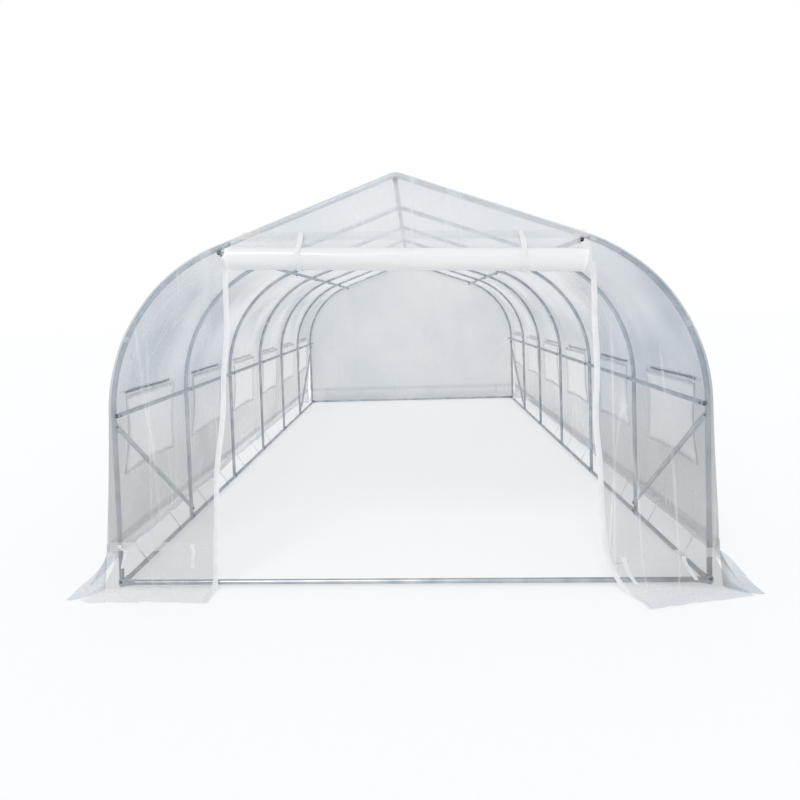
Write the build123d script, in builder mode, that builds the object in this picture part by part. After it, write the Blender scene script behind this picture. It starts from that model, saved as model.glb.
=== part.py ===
import math
import os

from build123d import *

# Polytunnel greenhouse: seven tube hoops, five long purlins and a film cover.
# Millimetres. X runs across, Y along (the door end is at -Y) and Z up, with the ground at Z = 0.

# Overall sizes, outside the frame tubes
width = 3000.0
length = 6000.0
hoop_count = 7

# Tube and the swaged end that plugs into the next tube
tube_od = 25.0
tube_wall = 1.0
swage_length = 45.0
swage_taper = 6.0
plug_clearance = 0.1
seat_gap = 0.3

# Hoop shape
waist_height = 895.0
bow_radius = 890.0
roof_pitch = 20.0
bow_tail = 60.0
post_joint_drop = 25.0
ridge_bend_radius = 60.0
ridge_leg = 120.0
purlin_overhang = 22.5
purlin_joint_offset = 60.0

# Flattened and drilled tube ends
tab_width = 38.0
tab_thickness = 2.0
tab_corner = 11.0
nose_short_of_tube = 0.5
tab_shank = 30.0
tab_taper = 50.0
tab_lap = 1.0
bolt_hole = 7.0
rail_height = 25.0
brace_top_drop = 60.0
brace_foot_height = 75.0
sill_joint = 500.0

# Film cover
film = 2.0
wall_above_waist = 115.0
bow_film_below_shoulder = 31.0
hem_height = 200.0
trim = 1.0

# Skirts: where they leave the wall, and how far out they reach along the ground
side_skirt_fall = 165.0
side_skirt_reach = 235.0
end_skirt_fall = 60.0
end_skirt_reach = 215.0

# Door end, placed from the shoulder joints of the first hoop, hanging lower on the right
door_left_of_shoulder = -67.0
door_right_of_shoulder = 28.0
door_foot_of_shoulder = 70.0
seam_left_rise = 56.0
seam_right_rise = 2.0
roll_radius = 60.0
roll_left_drop = 112.0
roll_right_drop = 128.0
roll_left_gap = 5.0
roll_right_gap = 42.0
roll_edge = 12.0
tape_width = 28.0
tape_below_roll = 20.0
strap_width = 25.0
strap_thickness = 1.2
strap_places = (-0.51, 0.645)
strap_above_seam = 22.0

# Side windows, placed from the waist rail
window_width = 640.0
window_above_waist = 65.0
window_height = 410.0
window_corner = 30.0
mesh_lap = 20.0
flap_radius = 17.0
flap_above_waist = 90.0
flap_lap = 12.0

# Hem band and its ties
hem_band_height = 47.0
hem_tie_width = 20.0
hem_tie_low = 95.0
front_tie_margin = 80.0
back_tie_pitch = 500.0
back_tie_count = 6

# Sizes that follow from the ones above
tube_r = tube_od / 2
tab_nose = tube_r - nose_short_of_tube
bore_r = tube_r - tube_wall
plug_r = bore_r - plug_clearance
plug_bore_r = plug_r - tube_wall
post_x = width / 2 - tube_r
first_hoop_y = -(length / 2 - tube_r)
hoop_pitch = (length - tube_od) / (hoop_count - 1)
hoop_ys = [first_hoop_y + i * hoop_pitch for i in range(hoop_count)]
last_hoop_y = hoop_ys[-1]
slope = math.radians(roof_pitch)
bow_end_angle = math.radians(90 - roof_pitch)
arc_x = post_x - bow_radius
arc_z = waist_height
shoulder_x = arc_x + bow_radius * math.cos(bow_end_angle)
shoulder_z = arc_z + bow_radius * math.sin(bow_end_angle)
ridge_corner_z = shoulder_z + shoulder_x * math.tan(slope)
ridge_arc_z = ridge_corner_z - ridge_bend_radius / math.cos(slope)
ridge_z = ridge_arc_z + ridge_bend_radius
post_joint_z = waist_height - post_joint_drop
purlin_inset = tube_od + seat_gap
film_inside = tube_r + seat_gap
film_outside = film_inside + film
purlin_end_y = last_hoop_y + purlin_overhang
panel_inside_y = purlin_end_y + seat_gap
panel_outside_y = panel_inside_y + film
wall_top_height = waist_height + wall_above_waist
bow_top_height = shoulder_z - bow_film_below_shoulder
door_left = -(shoulder_x + door_left_of_shoulder)
door_right = shoulder_x + door_right_of_shoulder
door_foot = shoulder_x + door_foot_of_shoulder
seam_left = shoulder_z + seam_left_rise
seam_right = shoulder_z + seam_right_rise
roll_start = door_left + roll_left_gap
roll_end = door_right - roll_right_gap
roll_start_z = seam_left - roll_left_drop
roll_end_z = seam_right - roll_right_drop
tape_top_height = roll_end_z - tape_below_roll
window_high = waist_height + window_above_waist
window_low = window_high - window_height
flap_height = waist_height + flap_above_waist


def arc_point(centre_x, centre_z, radius, angle):
    """A point in the hoop's plane on an arc about a centre."""
    return centre_x + radius * math.cos(angle), centre_z + radius * math.sin(angle)


def up_slope(distance):
    """A point on the right rafter's centreline, measured up from the end of the bow."""
    return shoulder_x - distance * math.cos(slope), shoulder_z + distance * math.sin(slope)


# Tubes
def straight_tube(run, plugged):
    """A tube along Z from its open mouth, with a swaged plug past the far end if asked."""
    with BuildPart() as tube:
        with BuildSketch(Plane.XZ):
            with BuildLine():
                if plugged:
                    Polyline(
                        (bore_r, 0),
                        (tube_r, 0),
                        (tube_r, run - swage_taper),
                        (plug_r, run),
                        (plug_r, run + swage_length),
                        (plug_bore_r, run + swage_length),
                        (plug_bore_r, run),
                        (bore_r, run - swage_taper),
                        close=True,
                    )
                else:
                    Polyline((bore_r, 0), (tube_r, 0), (tube_r, run), (bore_r, run), close=True)
            make_face()
        revolve(axis=Axis.Z)
    return tube.part


def swaged_end():
    """The plug that ends a bent tube, pointing along Z with its shoulder at the origin."""
    with BuildPart() as plug:
        with BuildSketch(Plane.XZ):
            with BuildLine():
                Polyline(
                    (bore_r, -swage_taper),
                    (tube_r, -swage_taper),
                    (plug_r, 0),
                    (plug_r, swage_length),
                    (plug_bore_r, swage_length),
                    (plug_bore_r, 0),
                    close=True,
                )
            make_face()
        revolve(axis=Axis.Z)
    return plug.part


plug = swaged_end()
down_slope = (math.cos(slope), 0, -math.sin(slope))

# Posts
post = straight_tube(post_joint_z - seat_gap, False)

with BuildPart() as right_posts:
    with Locations(*[(post_x, y, 0) for y in hoop_ys]):
        add(post)

with BuildPart() as left_posts:
    mirror(right_posts.part, about=Plane.YZ)

# Bows, from the post joint round the shoulder to the mouth that takes the rafter
bow_mouth = up_slope(bow_tail)
bow_start_z = post_joint_z + swage_taper

with BuildPart() as bow:
    with BuildLine() as bow_path:
        Line((post_x, 0, bow_start_z), (post_x, 0, arc_z))
        ThreePointArc(
            (post_x, 0, arc_z),
            (
                arc_x + bow_radius * math.cos(bow_end_angle / 2),
                0,
                arc_z + bow_radius * math.sin(bow_end_angle / 2),
            ),
            (shoulder_x, 0, shoulder_z),
        )
        Line((shoulder_x, 0, shoulder_z), (bow_mouth[0], 0, bow_mouth[1]))
    with BuildSketch(Plane.XY.offset(bow_start_z)):
        with Locations((post_x, 0)):
            Circle(tube_r)
            Circle(bore_r, mode=Mode.SUBTRACT)
    sweep(path=bow_path.wires()[0])
    with Locations(Plane(origin=(post_x, 0, post_joint_z), z_dir=(0, 0, -1))):
        add(plug)

with BuildPart() as right_bows:
    with Locations(*[(0, y, 0) for y in hoop_ys]):
        add(bow.part)

with BuildPart() as left_bows:
    mirror(right_bows.part, about=Plane.YZ)

# Ridge elbow, a short bent tube with a plug at each end
bend_x, bend_z = arc_point(0, ridge_arc_z, ridge_bend_radius, bow_end_angle)
leg_run = ridge_leg - swage_taper
leg_x = bend_x + leg_run * math.cos(slope)
leg_z = bend_z - leg_run * math.sin(slope)
elbow_x = bend_x + ridge_leg * math.cos(slope)
elbow_z = bend_z - ridge_leg * math.sin(slope)

with BuildPart() as elbow:
    with BuildLine() as elbow_path:
        Line((leg_x, 0, leg_z), (bend_x, 0, bend_z))
        ThreePointArc((bend_x, 0, bend_z), (0, 0, ridge_z), (-bend_x, 0, bend_z))
        Line((-bend_x, 0, bend_z), (-leg_x, 0, leg_z))
    with BuildSketch(Plane(origin=(leg_x, 0, leg_z), z_dir=down_slope)):
        Circle(tube_r)
        Circle(bore_r, mode=Mode.SUBTRACT)
    sweep(path=elbow_path.wires()[0])
    with Locations(
        Plane(origin=(elbow_x, 0, elbow_z), z_dir=down_slope),
        Plane(origin=(-elbow_x, 0, elbow_z), z_dir=(-math.cos(slope), 0, -math.sin(slope))),
    ):
        add(plug)

with BuildPart() as ridge_elbows:
    with Locations(*[(0, y, 0) for y in hoop_ys]):
        add(elbow.part)

# Rafters, plugged into the bows and taking the elbows' plugs
rafter_top_x = elbow_x + seat_gap * math.cos(slope)
rafter_top_z = elbow_z - seat_gap * math.sin(slope)
rafter_run = (shoulder_x - rafter_top_x) / math.cos(slope) - bow_tail - seat_gap
rafter = straight_tube(rafter_run, True)

with BuildPart() as right_rafters:
    with Locations(*[Plane(origin=(rafter_top_x, y, rafter_top_z), z_dir=down_slope) for y in hoop_ys]):
        add(rafter)

with BuildPart() as left_rafters:
    mirror(right_rafters.part, about=Plane.YZ)


# Purlins, in one length to a bay, on the inner side of the hoops
def purlin_lengths(x, z):
    """Start points and tubes of the lengths of one purlin, from the door end back."""
    joints = [y + purlin_joint_offset for y in hoop_ys[1:-1]]
    starts = [-purlin_end_y] + [joint + seat_gap for joint in joints]
    ends = joints + [purlin_end_y]
    lengths = []
    for start, end in zip(starts, ends):
        lengths.append(((x, start, z), straight_tube(end - start, end != purlin_end_y)))
    return lengths


shoulder_purlin_x, shoulder_purlin_z = arc_point(arc_x, arc_z, bow_radius - purlin_inset, bow_end_angle)

with BuildPart() as right_waist_rail:
    for start, tube in purlin_lengths(post_x - purlin_inset, waist_height):
        with Locations(Plane(origin=start, z_dir=(0, 1, 0))):
            add(tube)

with BuildPart() as left_waist_rail:
    mirror(right_waist_rail.part, about=Plane.YZ)

with BuildPart() as right_shoulder_purlin:
    for start, tube in purlin_lengths(shoulder_purlin_x, shoulder_purlin_z):
        with Locations(Plane(origin=start, z_dir=(0, 1, 0))):
            add(tube)

with BuildPart() as left_shoulder_purlin:
    mirror(right_shoulder_purlin.part, about=Plane.YZ)

with BuildPart() as ridge_purlin:
    for start, tube in purlin_lengths(0, ridge_z - purlin_inset):
        with Locations(Plane(origin=start, z_dir=(0, 1, 0))):
            add(tube)


# Tubes with flattened ends, along X between bolt centres and flat across Z
def flattened_end(layer, plain_from):
    """One flattened end with its bolt hole at the origin, running to a round end at plain_from."""
    with BuildPart() as end:
        with BuildSketch(Plane.XY.offset(layer - tab_thickness / 2)):
            with Locations(((tab_shank - tab_nose) / 2, 0)):
                RectangleRounded(tab_shank + tab_nose, tab_width, tab_corner)
            with Locations((tab_shank / 2, 0)):
                Rectangle(tab_shank, tab_width)
            Circle(bolt_hole / 2, mode=Mode.SUBTRACT)
        extrude(amount=tab_thickness)
        with BuildSketch(Plane.YZ.offset(tab_shank - tab_lap)):
            with Locations((0, layer)):
                Ellipse(tab_width / 2, tab_thickness / 2)
        with BuildSketch(Plane.YZ.offset(tab_shank + tab_taper)):
            Circle(tube_r)
        loft()
        with BuildSketch(Plane.YZ.offset(tab_shank + tab_taper)):
            Circle(tube_r)
        extrude(amount=plain_from - tab_shank - tab_taper)
    return end.part


def flattened_tube(run, first_layer, last_layer):
    """A tube flattened at both ends, each end on its own layer."""
    first = flattened_end(first_layer, run / 2)
    last = flattened_end(-last_layer, run / 2)
    with BuildPart() as rail:
        add(first)
        with Locations(Plane(origin=(run, 0, 0), x_dir=(-1, 0, 0), z_dir=(0, 0, -1))):
            add(last)
    return rail.part


layer_step = tab_thickness + seat_gap
near_layer = layer_step / 2
far_layer = -layer_step / 2
rail_x = post_x - tube_r - seat_gap - tab_thickness / 2 - near_layer

# Base rails, one to a bay, with two tabs lapped on each inner post
base_rail = flattened_tube(hoop_pitch, near_layer, far_layer)
end_base_rail = flattened_tube(hoop_pitch, near_layer, near_layer)

with BuildPart() as right_base_rail:
    with Locations(*[Plane((rail_x, y, rail_height), (0, 1, 0), (1, 0, 0)) for y in hoop_ys[:-2]]):
        add(base_rail)
    with Locations(Plane((rail_x, hoop_ys[-2], rail_height), (0, 1, 0), (1, 0, 0))):
        add(end_base_rail)

with BuildPart() as left_base_rail:
    mirror(right_base_rail.part, about=Plane.YZ)

# Corner braces, from under the waist of an end hoop to the foot of the next one
brace_top_z = waist_height - brace_top_drop
brace_drop = brace_top_z - brace_foot_height
brace = flattened_tube(math.hypot(hoop_pitch, brace_drop), near_layer, near_layer)
brace_line = (0, hoop_pitch, -brace_drop)

with BuildPart() as front_braces:
    with Locations(Plane((rail_x, first_hoop_y, brace_top_z), brace_line, (1, 0, 0))):
        add(brace)
    mirror(about=Plane.YZ)

with BuildPart() as back_braces:
    mirror(front_braces.part, about=Plane.XZ)

# Ground sills across the two ends, in three lengths
sill_y = last_hoop_y + tube_r + seat_gap + tab_thickness / 2
sill_end_run = post_x - sill_joint
sill_end = flattened_end(0, sill_end_run)
sill_middle = straight_tube(2 * sill_joint - seat_gap, True)
sill_socket_depth = swage_length + swage_taper

with BuildPart() as back_sill:
    with Locations(Plane((-post_x, sill_y, rail_height), (1, 0, 0), (0, 1, 0))):
        add(sill_end)
    with Locations(Plane((-sill_joint, sill_y, rail_height), z_dir=(1, 0, 0))):
        add(plug)
    with Locations(Plane((post_x, sill_y, rail_height), (-1, 0, 0), (0, -1, 0))):
        add(sill_end)
    with BuildSketch(Plane((sill_joint, sill_y, rail_height), z_dir=(1, 0, 0))):
        Circle(bore_r)
    extrude(amount=sill_socket_depth, mode=Mode.SUBTRACT)
    with Locations(Plane((-sill_joint + seat_gap, sill_y, rail_height), z_dir=(1, 0, 0))):
        add(sill_middle)

with BuildPart() as front_sill:
    mirror(back_sill.part, about=Plane.XZ)


# Film cover
def cover_outline(offset):
    """The right half of the area inside a line at an offset out from the hoop."""
    bow_out = bow_radius + offset
    ridge_out = ridge_bend_radius + offset
    bow_middle = arc_point(arc_x, arc_z, bow_out, bow_end_angle / 2)
    bow_end = arc_point(arc_x, arc_z, bow_out, bow_end_angle)
    ridge_start = arc_point(0, ridge_arc_z, ridge_out, bow_end_angle)
    ridge_middle = arc_point(0, ridge_arc_z, ridge_out, (bow_end_angle + math.pi / 2) / 2)
    with BuildSketch() as outline:
        with BuildLine():
            Polyline((0, ridge_arc_z + ridge_out), (0, 0), (post_x + offset, 0), (post_x + offset, arc_z))
            ThreePointArc((post_x + offset, arc_z), bow_middle, bow_end)
            Line(bow_end, ridge_start)
            ThreePointArc(ridge_start, ridge_middle, (0, ridge_arc_z + ridge_out))
        make_face()
    return outline.sketch


def area_between(left, right, low, high):
    """A rectangle given by its edges."""
    with BuildSketch() as area:
        with Locations(((left + right) / 2, (low + high) / 2)):
            Rectangle(right - left, high - low)
    return area.sketch


def cover_strip(inside, outside, low, high):
    """The cross section of a sheet that lies between two offsets and two heights."""
    outer = cover_outline(outside)
    inner = cover_outline(inside)
    window = area_between(seat_gap / 2, width, low, high)
    with BuildSketch() as strip:
        add(outer)
        add(inner, mode=Mode.SUBTRACT)
        add(window, mode=Mode.INTERSECT)
    return strip.sketch


wall_strip = cover_strip(film_inside, film_outside, hem_height, wall_top_height)
bow_strip = cover_strip(film_inside, film_outside, wall_top_height + seat_gap, bow_top_height)
roof_strip = cover_strip(film_inside, film_outside, bow_top_height + seat_gap, width)
bay_centres = [y + hoop_pitch / 2 for y in hoop_ys[:-1]]
window_middle = (window_low + window_high) / 2

with BuildPart() as right_wall_film:
    with BuildSketch(Plane.XZ):
        add(wall_strip)
    extrude(amount=panel_outside_y, both=True)
    with BuildSketch(Plane.YZ.offset(post_x)):
        with Locations(*[(y, window_middle) for y in bay_centres]):
            RectangleRounded(window_width, window_height, window_corner)
    extrude(amount=tube_od, mode=Mode.SUBTRACT)

with BuildPart() as left_wall_film:
    mirror(right_wall_film.part, about=Plane.YZ)

with BuildPart() as right_bow_film:
    with BuildSketch(Plane.XZ):
        add(bow_strip)
    extrude(amount=panel_outside_y, both=True)

with BuildPart() as left_bow_film:
    mirror(right_bow_film.part, about=Plane.YZ)

with BuildPart() as right_roof_film:
    with BuildSketch(Plane.XZ):
        add(roof_strip)
    extrude(amount=panel_outside_y, both=True)

with BuildPart() as left_roof_film:
    mirror(right_roof_film.part, about=Plane.YZ)

# Window meshes on the inner face of the film, and the flaps rolled up over them
mesh_strip = cover_strip(
    film_inside - seat_gap - trim,
    film_inside - seat_gap,
    window_low - mesh_lap,
    window_high + mesh_lap,
)
mesh_half_width = window_width / 2 + mesh_lap
flap_axis_r = bow_radius + film_outside + seat_gap + flap_radius
flap_angle = math.asin((flap_height - arc_z) / flap_axis_r)
flap_x, flap_z = arc_point(arc_x, arc_z, flap_axis_r, flap_angle)

with BuildPart() as mesh:
    with BuildSketch(Plane.XZ):
        add(mesh_strip)
    extrude(amount=mesh_half_width, both=True)

with BuildPart() as right_window_meshes:
    with Locations(*[(0, y, 0) for y in bay_centres]):
        add(mesh.part)

with BuildPart() as left_window_meshes:
    mirror(right_window_meshes.part, about=Plane.YZ)

with BuildPart() as flap:
    with BuildSketch(Plane.XZ):
        with Locations((flap_x, flap_z)):
            Circle(flap_radius)
    extrude(amount=window_width / 2 + flap_lap, both=True)

with BuildPart() as right_window_flaps:
    with Locations(*[(0, y, 0) for y in bay_centres]):
        add(flap.part)

with BuildPart() as left_window_flaps:
    mirror(right_window_flaps.part, about=Plane.YZ)

# End panels, inside the edge of the side film
panel_area = cover_outline(film_inside - seat_gap)
side_area = area_between(-width, width, hem_height, width)


def seam_z(x):
    """The height of the seam that the door hangs from."""
    return seam_left + (seam_right - seam_left) * (x + shoulder_x) / (2 * shoulder_x)


def roll_z(x):
    """The height of the rolled door's axis."""
    return roll_start_z + (roll_end_z - roll_start_z) * (x - roll_start) / (roll_end - roll_start)


def end_panel(y, area):
    """A sheet across one end, from its face at -y, cut down to an area."""
    with BuildPart() as panel:
        with BuildSketch(Plane.XZ.offset(y)):
            add(panel_area)
            mirror(about=Plane.YZ)
            add(area, mode=Mode.INTERSECT)
        extrude(amount=film)
    return panel.part


def four_sided(points):
    """The area inside four corners."""
    with BuildSketch() as area:
        with BuildLine():
            Polyline(*points, close=True)
        make_face()
    return area.sketch


gable_area = four_sided([(-width, seam_z(-width)), (width, seam_z(width)), (width, width), (-width, width)])
door_left_area = four_sided(
    [
        (door_left, seam_z(door_left)),
        (-door_foot, hem_height),
        (-width, hem_height),
        (-width, seam_z(door_left)),
    ]
)
door_right_area = four_sided(
    [
        (door_right, seam_z(door_right) - seat_gap),
        (door_foot, hem_height),
        (width, hem_height),
        (width, seam_z(width) - seat_gap),
    ]
)
tail_area = four_sided(
    [
        (roll_start, roll_z(roll_start)),
        (roll_end, roll_z(roll_end)),
        (roll_end, seam_z(roll_end) - seat_gap),
        (roll_start, seam_z(roll_start) - seat_gap),
    ]
)

with BuildPart() as front_gable_film:
    add(end_panel(panel_inside_y, gable_area))

with BuildPart() as front_left_film:
    add(end_panel(panel_inside_y, door_left_area))

with BuildPart() as front_right_film:
    add(end_panel(panel_inside_y, door_right_area))

with BuildPart() as back_wall_film:
    add(end_panel(-panel_outside_y, side_area))

# Door leaf rolled up in front of the tail that it hangs by
roll_y = panel_outside_y + seat_gap + roll_radius
roll_run = roll_end - roll_start
roll_middle = (roll_start + roll_end) / 2

with BuildPart() as door_roll:
    with Locations(
        Plane((roll_middle, -roll_y, roll_z(roll_middle)), z_dir=(roll_run, 0, roll_end_z - roll_start_z))
    ):
        Cylinder(roll_radius, roll_run)
    fillet(door_roll.edges().filter_by(GeomType.CIRCLE), roll_edge)
    add(end_panel(panel_inside_y, tail_area))

# Straps from the seam round the roll and back up inside the tail
strap_front_y = panel_outside_y + seat_gap + strap_thickness / 2
strap_back_y = -(panel_inside_y - seat_gap - strap_thickness / 2)
strap_r = roll_y + strap_back_y


def door_strap(x):
    """One strap, from its front end down round the roll and up its back."""
    top = seam_z(x) + strap_above_seam
    axis = roll_z(x)
    span = math.hypot(roll_y - strap_front_y, top - axis)
    turn = math.atan2(top - axis, roll_y - strap_front_y) + math.acos(strap_r / span)
    leave = arc_point(-roll_y, axis, strap_r, turn)
    bottom = arc_point(-roll_y, axis, strap_r, (turn + 2 * math.pi) / 2)
    with BuildPart() as strap:
        with BuildLine() as path:
            Line((x, -strap_front_y, top), (x, leave[0], leave[1]))
            ThreePointArc((x, leave[0], leave[1]), (x, bottom[0], bottom[1]), (x, strap_back_y, axis))
            Line((x, strap_back_y, axis), (x, strap_back_y, top))
        with BuildSketch(Plane((x, strap_back_y, top), z_dir=(0, 0, 1))):
            Rectangle(strap_width, strap_thickness)
        sweep(path=path.wires()[0])
    return strap.part


with BuildPart() as door_straps:
    for place in strap_places:
        add(door_strap(place * door_right))


# Skirts, drawn outward from the wall's inner face with the ground at zero
def skirt_outline(fall, reach, lift):
    """The area above and outside a line that is lifted off the skirt's under face."""
    top = hem_height + hem_band_height
    slant = fall + lift * (math.sqrt(2) - 1)
    with BuildSketch() as outline:
        with BuildLine():
            Polyline((lift, top), (lift, slant), (slant, lift), (reach, lift), (reach, top), close=True)
        make_face()
    return outline.sketch


def skirt_strip(fall, reach, under, over, low, high):
    """The cross section of a sheet that follows a skirt between two lifts and two heights."""
    outer = skirt_outline(fall, reach, under)
    inner = skirt_outline(fall, reach, over)
    window = area_between(0, reach, low, high)
    with BuildSketch() as strip:
        add(outer)
        add(inner, mode=Mode.SUBTRACT)
        add(window, mode=Mode.INTERSECT)
    return strip.sketch


def end_skirt_strip(under, over, low, high):
    """The same for the skirts of the two ends."""
    return skirt_strip(end_skirt_fall, end_skirt_reach, under, over, low, high)


skirt_top = hem_height - seat_gap
film_lift = film + seat_gap
band_low = hem_height - hem_band_height / 2
band_high = hem_height + hem_band_height / 2
tie_lift = film_lift + trim + seat_gap
side_skirt_section = skirt_strip(side_skirt_fall, side_skirt_reach, 0, film, 0, skirt_top)
side_band_section = skirt_strip(
    side_skirt_fall, side_skirt_reach, film_lift, film_lift + trim, band_low, band_high
)
end_skirt_section = end_skirt_strip(0, film, 0, skirt_top)
end_band_section = end_skirt_strip(film_lift, film_lift + trim, band_low, band_high)
tie_section = end_skirt_strip(tie_lift, tie_lift + trim, hem_tie_low, band_high)
tape_section = end_skirt_strip(film_lift, film_lift + trim, 0, hem_height)

right_plane = Plane((post_x + film_inside, 0, 0), (1, 0, 0), (0, -1, 0))
front_plane = Plane((0, -panel_inside_y, 0), (0, -1, 0), (-1, 0, 0))
back_plane = Plane((0, panel_inside_y, 0), (0, 1, 0), (1, 0, 0))
panel_half = post_x + film_inside - seat_gap
tape_half = tape_width / 2

with BuildPart() as right_skirt:
    with BuildSketch(right_plane):
        add(side_skirt_section)
    extrude(amount=panel_outside_y, both=True)

with BuildPart() as left_skirt:
    mirror(right_skirt.part, about=Plane.YZ)

with BuildPart() as front_left_skirt:
    with BuildSketch(front_plane.offset(door_foot)):
        add(end_skirt_section)
    extrude(amount=panel_half - door_foot)

with BuildPart() as front_right_skirt:
    mirror(front_left_skirt.part, about=Plane.YZ)

with BuildPart() as back_skirt:
    with BuildSketch(back_plane):
        add(end_skirt_section)
    extrude(amount=panel_half, both=True)

# Zip tapes down the door's edges and over the skirts
tape_plane = Plane.XZ.offset(panel_outside_y + seat_gap)


def zip_tape(top_x, foot_x):
    """A tape down one edge of the door, then over the skirt to the ground."""
    share = (tape_top_height - hem_height) / (seam_z(top_x) - hem_height)
    start_x = foot_x + (top_x - foot_x) * share
    area = four_sided(
        [
            (start_x - tape_half, tape_top_height),
            (foot_x - tape_half, hem_height),
            (foot_x + tape_half, hem_height),
            (start_x + tape_half, tape_top_height),
        ]
    )
    with BuildPart() as tape:
        with BuildSketch(tape_plane):
            add(area)
        extrude(amount=trim)
        with BuildSketch(front_plane.offset(-foot_x)):
            add(tape_section)
        extrude(amount=tape_half, both=True)
    return tape.part


with BuildPart() as left_zip_tape:
    add(zip_tape(door_left, -door_foot))

with BuildPart() as right_zip_tape:
    add(zip_tape(door_right, door_foot))

# Hem bands over the seam between wall and skirt, and the ties that hang from them
front_band_start = door_foot + tape_half + trim
front_tie_xs = (front_band_start + front_tie_margin, panel_half - front_tie_margin)
back_tie_xs = [(i - (back_tie_count - 1) / 2) * back_tie_pitch for i in range(back_tie_count)]

with BuildPart() as side_hem_bands:
    with BuildSketch(right_plane):
        add(side_band_section)
    extrude(amount=panel_outside_y, both=True)
    mirror(about=Plane.YZ)

with BuildPart() as front_hem_bands:
    with BuildSketch(front_plane.offset(front_band_start)):
        add(end_band_section)
    extrude(amount=panel_half - front_band_start)
    mirror(about=Plane.YZ)

with BuildPart() as back_hem_band:
    with BuildSketch(back_plane):
        add(end_band_section)
    extrude(amount=panel_half, both=True)

with BuildPart() as hem_ties:
    for x in front_tie_xs:
        with BuildSketch(front_plane.offset(x)):
            add(tie_section)
        extrude(amount=hem_tie_width / 2, both=True)
        with BuildSketch(front_plane.offset(-x)):
            add(tie_section)
        extrude(amount=hem_tie_width / 2, both=True)
    for x in back_tie_xs:
        with BuildSketch(back_plane.offset(x)):
            add(tie_section)
        extrude(amount=hem_tie_width / 2, both=True)

# Labels and files
os.makedirs("parts", exist_ok=True)

nodes = {
    "left_posts": left_posts,
    "right_posts": right_posts,
    "left_bows": left_bows,
    "right_bows": right_bows,
    "left_rafters": left_rafters,
    "right_rafters": right_rafters,
    "ridge_elbows": ridge_elbows,
    "ridge_purlin": ridge_purlin,
    "left_shoulder_purlin": left_shoulder_purlin,
    "right_shoulder_purlin": right_shoulder_purlin,
    "left_waist_rail": left_waist_rail,
    "right_waist_rail": right_waist_rail,
    "left_base_rail": left_base_rail,
    "right_base_rail": right_base_rail,
    "front_sill": front_sill,
    "back_sill": back_sill,
    "front_braces": front_braces,
    "back_braces": back_braces,
    "left_wall_film": left_wall_film,
    "right_wall_film": right_wall_film,
    "left_bow_film": left_bow_film,
    "right_bow_film": right_bow_film,
    "left_roof_film": left_roof_film,
    "right_roof_film": right_roof_film,
    "front_gable_film": front_gable_film,
    "front_left_film": front_left_film,
    "front_right_film": front_right_film,
    "back_wall_film": back_wall_film,
    "left_skirt": left_skirt,
    "right_skirt": right_skirt,
    "front_left_skirt": front_left_skirt,
    "front_right_skirt": front_right_skirt,
    "back_skirt": back_skirt,
    "left_window_meshes": left_window_meshes,
    "right_window_meshes": right_window_meshes,
    "left_window_flaps": left_window_flaps,
    "right_window_flaps": right_window_flaps,
    "door_roll": door_roll,
    "door_straps": door_straps,
    "left_zip_tape": left_zip_tape,
    "right_zip_tape": right_zip_tape,
    "side_hem_bands": side_hem_bands,
    "front_hem_bands": front_hem_bands,
    "back_hem_band": back_hem_band,
    "hem_ties": hem_ties,
}

for name, node in nodes.items():
    node.part.label = name
    export_step(node.part, "parts/" + name + ".step")
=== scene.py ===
import math

import bmesh
import bpy
from mathutils import Matrix, Vector, noise


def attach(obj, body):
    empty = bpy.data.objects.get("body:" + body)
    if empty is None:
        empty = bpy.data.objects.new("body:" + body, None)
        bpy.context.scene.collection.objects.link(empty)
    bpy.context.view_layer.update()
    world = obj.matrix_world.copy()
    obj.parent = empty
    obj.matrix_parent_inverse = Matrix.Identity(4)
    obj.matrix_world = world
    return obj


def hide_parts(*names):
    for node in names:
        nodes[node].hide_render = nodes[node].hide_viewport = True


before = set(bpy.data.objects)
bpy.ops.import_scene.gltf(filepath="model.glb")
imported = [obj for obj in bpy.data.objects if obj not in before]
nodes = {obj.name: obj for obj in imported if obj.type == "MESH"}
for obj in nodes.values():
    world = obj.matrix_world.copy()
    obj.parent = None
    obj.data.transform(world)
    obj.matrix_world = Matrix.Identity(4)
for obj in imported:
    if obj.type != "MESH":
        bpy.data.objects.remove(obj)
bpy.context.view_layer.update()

# Camera, fitted to the joints of the hoops: pixels, then metres, then degrees
PICTURE = 800
FOCAL = 607.9
CENTRE_X, CENTRE_Y = 378.0, 331.7
CAMERA_AT = (0.072, -6.019, 1.411)
CAMERA_YAW, CAMERA_PITCH, CAMERA_ROLL = 3.42, -2.32, 1.84
SENSOR = 36

# Sizes taken from the part, in metres
POST_X = 1.4875
HOOP_Y = 2.9875
HOOPS = [-HOOP_Y + i * HOOP_Y / 3 for i in range(7)]
BAY = HOOP_Y / 3
WAIST = 0.895
BOW_R = 0.890
BOW_END = math.radians(70)
SLOPE = math.radians(20)
ARC_X = POST_X - BOW_R
SHOULDER_X = ARC_X + BOW_R * math.cos(BOW_END)
SHOULDER_Z = WAIST + BOW_R * math.sin(BOW_END)
RIDGE_R = 0.060
RIDGE_ARC_Z = SHOULDER_Z + SHOULDER_X * math.tan(SLOPE) - RIDGE_R / math.cos(SLOPE)
TUBE_R = 0.0125
PURLIN = 0.0253
HEM = 0.2

# How far the sheets lie from the tubes' axes and from the middle of the tunnel
FILM = 0.0138
PANEL = 0.0118
END_Y = 3.0113

# How far each long wall bulges at its foot, and the two sides by name
WALL_BULGE = {-1: 0.045, 1: 0.022}
SIDES = ((-1, "left"), (1, "right"))

# Side windows, in metres along the wall and up it
WINDOWS = [y + BAY / 2 for y in HOOPS[:-1]]
WIN_HALF = 0.32
WIN_LOW, WIN_HIGH = 0.55, 0.96

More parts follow.
